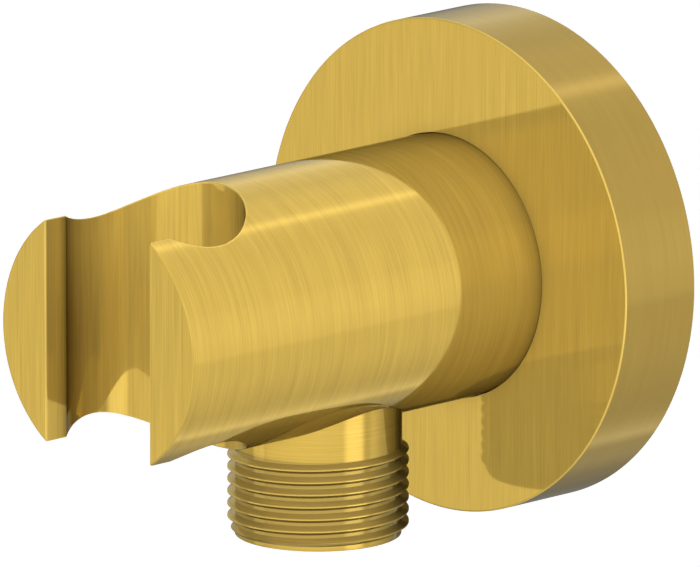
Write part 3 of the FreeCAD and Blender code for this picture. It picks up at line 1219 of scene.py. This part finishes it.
wall_outline = [
    (0.0, relief_r),
    (washer_depth, relief_r),
    (washer_depth, flange_r, edge),
    (flange_front, flange_r, edge),
    (flange_front, spigot_r),
    (screw_out - lock_half - lock_depth, spigot_r),
    (screw_out - lock_half, spigot_r - lock_depth),
    (screw_out + lock_half, spigot_r - lock_depth),
    (screw_out + lock_half + lock_depth, spigot_r),
    *groove(rear_ring, ring_half, spigot_r, ring_depth, edge / 2),
    *groove(front_ring, ring_half, spigot_r, ring_depth, edge / 2),
    (nipple_front - lead, spigot_r),
    (nipple_front, spigot_r - lead),
    (nipple_front, key_bore),
    (flange_front, key_bore),
    (flange_front, water_r),
    (-wall_end, water_r, edge),
    (-wall_end, wall_end_r),
]
pipe_pitch = 1.814 * mm
pipe_depth = 1.162 * mm
print("wall nipple reaches from", round(-wall_end / mm, 1), "to", round(nipple_front / mm, 1))

wall_core = turned("wall_nipple_brass", wall_outline, WALL, OUT, [brass_marks_out], closed=False)
wall_thread = {
    "Pitch": pipe_pitch,
    "Crest Radius": thread_r,
    "Root Radius": thread_r - pipe_depth,
    "Length": wall_end,
    "Start Radius": relief_r,
    "End Radius": wall_end_r,
    "Phase": 0.0,
    "Lead": 0.1 * mm,
    "Rows": thread_rows(wall_end, pipe_pitch),
    "Columns": columns,
    "Material": brass_marks_out,
}
wall_turns = grown("wall_thread", thread_group, wall_thread)
wall_nipple = threaded(wall_core, wall_turns, WALL, IN, [brass_marks_out])
key_size = 10.0 * mm
key_end = 4.8 * mm
key_outline = rod(-key_end, flange_front, key_size / math.sqrt(3))
key_hole = turned("key_hole", key_outline, WALL, OUT, [brass_marks_out], sides=6)
combine(wall_nipple, key_hole, "DIFFERENCE")
set_true_normals(wall_nipple.data, [])
settle(wall_nipple, "holder", "plain_brass", "wall_nipple")

# %% [markdown]
# ## Rings and washers
#
# Five rubber rings seal the fitting. Each is a ring with a round section that is squeezed between two walls,
# so its outline is a rectangle whose corners are rounded as far as they can be. The soft ring in the
# rosette's rear edge and the fibre washer under the flange are flat.

# %% Make the rings
def ring_from_frame(name, node, axis, finish, body, height, softness):
    """A ring in the place of its node, as high as it is said to be from its outer radius inwards.

    Axis is a direction and a point, and finish is a material and its slot. Softness says how round the
    section is: from 0 for a rectangle to 1.
    """
    direction, base = axis
    material, slot = finish
    low, high = span(node, direction)
    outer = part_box(node)[1].x
    inner = outer - height
    corner = min(high - low, height) / 2 * softness
    outline = [(low, inner, corner), (low, outer, corner), (high, outer, corner), (high, inner, corner)]
    piece = turned(name, outline, base, direction, [material])
    settle(piece, body, slot, node)
    return piece


round_section = 0.95
flat_section = 0.2
large_height = 1.36 * mm
small_height = 1.01 * mm
valve_ring_height = 1.06 * mm
seal_height = 2.4 * mm
washer_height = 1.82 * mm
body_axis = OUT, WALL
hose_axis = DOWN, OUTLET
black = rubber, "black_rubber"
grey = soft_seal, "soft_seal"
red = fibre, "red_fibre"
ring_rows = [
    ("rosette_o_ring", body_axis, "rosette", small_height),
    ("nipple_o_ring_rear", body_axis, "holder", large_height),
    ("nipple_o_ring_front", body_axis, "holder", large_height),
    ("outlet_nipple_o_ring", hose_axis, "holder", small_height),
    ("check_valve_o_ring", hose_axis, "holder", valve_ring_height),
]
for node, axis, body, height in ring_rows:
    ring_from_frame(node + "_round", node, axis, black, body, height, round_section)
ring_from_frame("wall_seal_soft", "wall_seal_ring", body_axis, grey, "rosette", seal_height, flat_section)
ring_from_frame("nipple_washer_fibre", "nipple_washer", body_axis, red, "holder", washer_height, flat_section)

# %% [markdown]
# ## The check valve
#
# Looking up into the hose end one sees the valve that keeps bath water from flowing back: a white sleeve with
# a cage of four spokes at its mouth, a coil spring, and a blue poppet whose stem comes through the hub. The
# sleeve and the poppet are turned forms. The cage is one moulding, so its parts are joined by a Boolean.

# %% Make the sleeve and the poppet
sleeve_top, sleeve_end = span("check_valve_housing", DOWN)
sleeve_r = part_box("check_valve_housing")[1].x
sleeve_wall = 1.3 * mm
sleeve_head = 3.0 * mm
seat_r = 3.8 * mm
cage_step = 0.45 * mm
cage_depth = 1.6 * mm
chamber_r = sleeve_r - sleeve_wall
sleeve_groove = sleeve_top + sleeve_head / 2
sleeve_outline = [
    (sleeve_top, seat_r, edge),
    (sleeve_top, sleeve_r, edge),
    *groove(sleeve_groove, groove_half, sleeve_r, groove_depth),
    (sleeve_end, sleeve_r, edge),
    (sleeve_end, chamber_r + cage_step, edge / 2),
    (sleeve_end - cage_depth, chamber_r + cage_step),
    (sleeve_end - cage_depth, chamber_r),
    (sleeve_top + sleeve_head, chamber_r, edge),
    (sleeve_top + sleeve_head, seat_r, edge),
]
sleeve = turned("check_valve_sleeve", sleeve_outline, OUTLET, DOWN, [white_plastic])
settle(sleeve, "holder", "white_plastic", "check_valve_housing")

poppet_top, poppet_end = span("check_valve_poppet", DOWN)
seal_top, rim_top = span("check_valve_poppet_seal", DOWN)
poppet_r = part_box("check_valve_poppet")[1].x
rim_height = 1.3 * mm
seal_width = 1.6 * mm
seal_gap = 0.02 * mm
rim_end = rim_top + rim_height
boss_r = poppet_r - seal_width - seal_gap
stem_r = 1.2 * mm
poppet_outline = [
    (poppet_top, 0.0),
    (seal_top, boss_r, edge),
    (rim_top, boss_r),
    (rim_top, poppet_r, edge),
    (rim_end, poppet_r, edge),
    (rim_end, stem_r, edge),
    (poppet_end, stem_r, edge),
    (poppet_end, 0.0),
]
poppet = turned("check_valve_poppet_blue", poppet_outline, OUTLET, DOWN, [blue_plastic], sides=small_columns)
settle(poppet, "poppet", "blue_plastic", "check_valve_poppet")
seal_node = "check_valve_poppet_seal"
ring_from_frame(seal_node + "_ring", seal_node, hose_axis, black, "poppet", seal_width, flat_section)

# %% Make the cage
hub_top, cage_end = span("check_valve_cage", DOWN)
cage_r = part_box("check_valve_cage")[1].x
cage_wall = 0.9 * mm
hub_r = 2.3 * mm
guide_r = 1.26 * mm
spoke_half = 0.55 * mm
spoke_count = 4


def bar_across(length, half_width, low, high, turn):
    """A flat bar of the moulding that starts at the outlet's axis and lies across it."""
    ahead = Vector((math.cos(turn), math.sin(turn), 0))
    aside = Vector((-math.sin(turn), math.cos(turn), 0)) * half_width
    points = [
        OUTLET + DOWN * drop + ahead * reach + aside * side
        for drop in (low, high) for reach in (0, length) for side in (-1, 1)
    ]
    faces = [(0, 1, 3, 2), (4, 6, 7, 5), (0, 2, 6, 4), (1, 5, 7, 3), (0, 4, 5, 1), (2, 3, 7, 6)]
    bar = mesh_object("spoke", points, faces, [0] * len(faces), [white_plastic])
    mesh = bmesh.new()
    mesh.from_mesh(bar.data)
    weld_into(mesh, bar.data)
    return bar


def round_part(name, outline):
    """A turned part of the moulding."""
    return turned(name, outline, OUTLET, DOWN, [white_plastic], sides=small_columns)


def tube_outline(low, high, inner, outer, soft):
    return [(low, inner), (low, outer, soft), (high, outer, soft), (high, inner)]


cage_top = cage_end - cage_depth
cage_ring = tube_outline(cage_top, cage_end, cage_r - cage_wall, cage_r, edge / 2)
cage_hub = tube_outline(hub_top, cage_end, guide_r, hub_r, edge)
cage = round_part("check_valve_cage_white", cage_hub)
spoke_length = cage_r - cage_wall / 2
for number in range(spoke_count):
    turn = 2 * math.pi * number / spoke_count
    combine(cage, bar_across(spoke_length, spoke_half, cage_top, cage_end, turn), "UNION")
combine(cage, round_part("cage_ring", cage_ring), "UNION")
combine(cage, round_part("guide", rod(0.0, 2 * past_body, guide_r)), "DIFFERENCE")
set_true_normals(cage.data, [])
settle(cage, "holder", "white_plastic", "check_valve_cage")

# %% [markdown]
# ## The spring with Geometry Nodes
#
# The spring is a wire along a helix. The tree bends a straight line into the helix by a formula, sweeps a
# circle along it, and presses the two ends flat, as ground ends are. When the poppet opens, the spring is
# squeezed towards the hub.

# %% Make the spring
spring_inputs = ("Coil Radius", "Wire Radius", "Turns", "Height")


def spring_tree():
    group, tree, given = new_geometry_tree("spring", spring_inputs)
    line = tree.add("GeometryNodeCurvePrimitiveLine", None, {"End": (0.0, 0.0, 1.0)})
    fine = tree.add("GeometryNodeResampleCurve", None, {"Curve": line, "Count": given["Columns"]})
    share = tree.add("GeometryNodeSplineParameter")
    angle = share * given["Turns"] * (2 * math.pi)
    radius = given["Coil Radius"]
    place = tree.vector(radius * angle.math("COSINE"), radius * angle.math("SINE"), share * given["Height"])
    helix = tree.add("GeometryNodeSetPosition", None, {"Geometry": fine, "Position": place})
    circle = {"Resolution": given["Rows"], "Radius": given["Wire Radius"]}
    section = tree.add("GeometryNodeCurvePrimitiveCircle", None, circle)
    sweep = {"Curve": helix, "Profile Curve": section, "Fill Caps": True}
    wire = tree.add("GeometryNodeCurveToMesh", None, sweep)
    x, y, z = tree.parts(tree.add("GeometryNodeInputPosition"))
    pressed = tree.vector(x, y, z.clamped(0.0, given["Height"]))
    ground = tree.add("GeometryNodeSetPosition", None, {"Geometry": wire, "Position": pressed})
    end_geometry_tree(tree, ground, given)
    return group


spring_low, spring_high = span("check_valve_spring", DOWN)
poppet_travel = max(joint["range_m"][1] for joint in frame["joints"] if joint["name"] == "poppet_slide")
spring_length = spring_high - spring_low
coil_r = 2.05 * mm
wire_r = 0.25 * mm
coils = 3.5
sides_of_wire = 14
points_along_wire = 200
spring_values = {
    "Coil Radius": coil_r,
    "Wire Radius": wire_r,
    "Turns": coils,
    "Height": spring_length,
    "Rows": sides_of_wire,
    "Columns": points_along_wire,
    "Material": steel,
}
spring = grown("check_valve_spring_wire", spring_tree(), spring_values)
for vertex in spring.data.vertices:
    x, y, along = vertex.co
    vertex.co = OUTLET + DOWN * (spring_low + along) + ACROSS * x + OUT * y
spring_mesh = bmesh.new()
spring_mesh.from_mesh(spring.data)
weld_into(spring_mesh, spring.data)
shade(spring.data)
settle(spring, "holder", "stainless", "check_valve_spring")
tuple(OUTLET + DOWN * spring_high)
(spring_length - poppet_travel) / spring_length
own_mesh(spring)

# %% [markdown]
# ## The grub screw
#
# The screw's solid has the right form already: a cone point and a hexagon for the key. It keeps its node and
# gets its finish.

# %% Dress the grub screw
screw = nodes["grub_screw"]
screw.data.materials.clear()
screw.data.materials.append(steel)
print("kept from the frame:", screw.name)

# %% [markdown]
# ## The stage
#
# The floor is a plain pale sheet well below the fitting, which hangs on a wall that isn't drawn. To the
# camera it is white, but it still darkens where the fitting shades it. Only the camera sees it, and only from
# above, so it doesn't show in the gold.
#
# Gold shows what it reflects, so the surroundings matter as much as the material. The world is a dome. Its
# half behind the fitting is a ring of light and dark stripes, which the round body shows as lines along it.
# Each stop of the ring gives an angle round the body's axis, from its right side upwards, and how light the
# dome is there. The front half is plain, and darker at the far left. Soft cards add light from a few
# directions, and a card with a strength below nought takes some away.
#
# The dome is only seen in reflections. For light that is scattered it is a faint even glow, and for the
# camera it is white.

# %% The floor
floor_drop = 0.12
floor_half = 3.0
white = (1, 1, 1, 1)
pale_grey = (0.8, 0.8, 0.8, 1)
floor_glow = 0.52
square = ((-1, -1), (1, -1), (1, 1), (-1, 1))
floor_corners = [(floor_half * x, floor_half * y, -floor_drop) for x, y in square]
floor_mesh = bpy.data.meshes.new("floor")
floor_mesh.from_pydata(floor_corners, [], [(0, 1, 2, 3)])
floor = placed("floor", floor_mesh)
floor_material, floor_tree = new_material("floor_paint")
paint = floor_tree.add("ShaderNodeBsdfDiffuse", None, {"Color": pale_grey})
glow = floor_tree.add("ShaderNodeEmission", None, {"Color": white, "Strength": floor_glow})
lit = floor_tree.add("ShaderNodeAddShader", None, {0: paint, 1: glow})
clear = floor_tree.add("ShaderNodeBsdfTransparent")
underside = floor_tree.add("ShaderNodeNewGeometry", output="Backfacing")
seen_straight = floor_tree.add("ShaderNodeLightPath", output="Is Camera Ray")
hidden = underside.math("MAXIMUM", 1 - seen_straight)
shown = floor_tree.add("ShaderNodeMixShader", None, {0: hidden, 1: lit, 2: clear})
floor_tree.add("ShaderNodeOutputMaterial", None, {"Surface": shown})
floor_mesh.materials.append(floor_material)
print("floor", round(floor_drop / mm), "mm below the axis")


# %% The dome and its cards
def card(tree, direction, toward, inner, outer, strength):
    """Light from around one direction. Inner and outer are the angles where it starts and ends to fade."""
    vectors = {0: direction, 1: tuple(Vector(toward).normalized())}
    facing = tree.add("ShaderNodeVectorMath", {"operation": "DOT_PRODUCT"}, vectors, "Value")
    inputs = {
        "Value": facing,
        "From Min": math.cos(math.radians(outer)),
        "From Max": math.cos(math.radians(inner)),
    }
    window = tree.add("ShaderNodeMapRange", {"interpolation_type": "SMOOTHSTEP"}, inputs)
    return window * strength


world = bpy.data.worlds.new("studio")
bpy.context.scene.world = world
world.use_nodes = True
dome = Tree(world.node_tree)
toward = dome.add("ShaderNodeTexCoord", output="Generated")
x, y, z = dome.parts(toward)
ring_stops = [
    (-180, 0.37), (-165, 0.08), (-150, 0.24), (-135, 0.28), (-120, 0.43), (-108, 0.72), (-98, 0.80),
    (-92, 1.43), (-86, 1.13), (-80, 0.91), (-72, 0.80), (-60, 0.84), (-45, 0.91), (-21, 0.88), (-17, 1.09),
    (0, 1.20), (17, 1.10), (22, 0.99), (50, 0.90), (65, 0.87), (76, 0.95), (82, 1.08), (88, 1.91),
    (94, 1.19), (100, 1.07), (110, 1.08), (125, 0.92), (140, 1.03), (152, 1.21), (166, 0.70), (180, 0.37),
]
ring_scale = 4
behind_range = 0.40, 0.22
left_range = -0.66, 0.20
front_left = 0.16
front_rise = 0.53
turn = z.math("ARCTAN2", x) / (2 * math.pi) + 0.5
stops = [(angle / 360 + 0.5, strength / ring_scale) for angle, strength in ring_stops]
ring = dome.add("ShaderNodeValToRGB", {"stops": stops}, {"Fac": turn}) * ring_scale
behind = fallen(y, *behind_range)
front = front_left + fallen(x, *left_range) * front_rise
level = ring * behind + (1 - behind) * front
cards = [
    ((0.97, 0.11, -0.22), 4, 18, 1.12),
    ((0.88, 0.43, -0.22), 0, 9, -0.30),
    ((-0.69, -0.69, -0.22), 5, 13, 0.64),
    ((0.69, -0.69, 0.22), 6, 20, 0.40),
    ((-0.97, 0.00, 0.25), 10, 45, 0.35),
    ((-0.60, -0.69, -0.41), 2, 11, -0.20),
    ((-0.45, -0.69, -0.57), 8, 24, -0.15),
]
for aim, inner, outer, strength in cards:
    level = level + card(dome, toward, aim, inner, outer, strength)
backdrop = dome.vector(level, level, level)
even_glow = (0.045, 0.045, 0.045, 1)
reflected = dome.add("ShaderNodeLightPath", output="Is Glossy Ray")
seen_directly = dome.add("ShaderNodeLightPath", output="Is Camera Ray")
colour = dome.mix(seen_directly, dome.mix(reflected, even_glow, backdrop), white)
background = dome.add("ShaderNodeBackground", None, {"Color": colour, "Strength": 1.0})
dome.add("ShaderNodeOutputWorld", None, {"Surface": background})
print("cards in the dome:", len(cards))

# %% [markdown]
# ## The camera
#
# The picture is taken from far away with a very long lens, so the fitting hardly tapers with distance. The
# view comes from the front right and a little above.

# %% Place the camera
azimuth = math.radians(44.898)
elevation = math.radians(12.857)
distance = 1.8629
aim_point = Vector((5.595, -33.0, 2.161)) * mm
back = Vector((
    math.sin(azimuth) * math.cos(elevation),
    -math.cos(azimuth) * math.cos(elevation),
    math.sin(elevation),
))
lens = bpy.data.cameras.new("camera")
lens.sensor_width = 36.0
lens.lens = 835.6
lens.clip_start = 0.1
lens.clip_end = 20.0
camera = placed("camera", lens)
camera.location = aim_point + back * distance
camera.rotation_mode = "QUATERNION"
camera.rotation_quaternion = (-back).to_track_quat("-Z", "Y")
bpy.context.scene.camera = camera
bpy.context.scene.view_settings.view_transform = "Standard"
print("camera at", [round(value, 3) for value in camera.location])

# %% [markdown]
# ## The lamps
#
# A wide soft key light stands in front, to the left of the camera, and a second one high above the camera.
# They light what faces the camera and let the sides fall off, which makes the round forms read. A side light
# and a back light keep the other sides from going dark. The metal mirrors none of them, because the dome has
# its own cards. Their light isn't passed on from gold to gold either, which would turn it orange, and light
# from the dome is passed on only once. The key light and the high light cast no shadow on the rosette, and
# the other two shade as usual.
#
# Each row gives a lamp's name, its heading in degrees from the right side towards the wall, its height in
# degrees, its strength, and whether it shades.

# %% Place the lamps
lamps = [
    ("key", -60, 10, 0.75, False),
    ("high", -45, 50, 0.25, False),
    ("side", 0, 20, 0.25, True),
    ("back", 160, 25, 0.40, True),
]
lamp_spread = 30
for name, heading, height, strength, shades in lamps:
    heading, height = math.radians(heading), math.radians(height)
    toward_light = Vector((math.cos(heading), math.sin(heading), math.tan(height))).normalized()
    lamp = bpy.data.lights.new(name, "SUN")
    lamp.energy = math.pi * strength
    lamp.angle = math.radians(lamp_spread)
    lamp.use_shadow = shades
    lamp.cycles.max_bounces = 0
    light = placed(name, lamp)
    light.location = toward_light
    light.rotation_mode = "QUATERNION"
    light.rotation_quaternion = toward_light.to_track_quat("Z", "Y")
    light.visible_glossy = False
world.cycles.max_bounces = 1
print("lamps:", len(lamps), "total strength", round(sum(item[3] for item in lamps), 2))
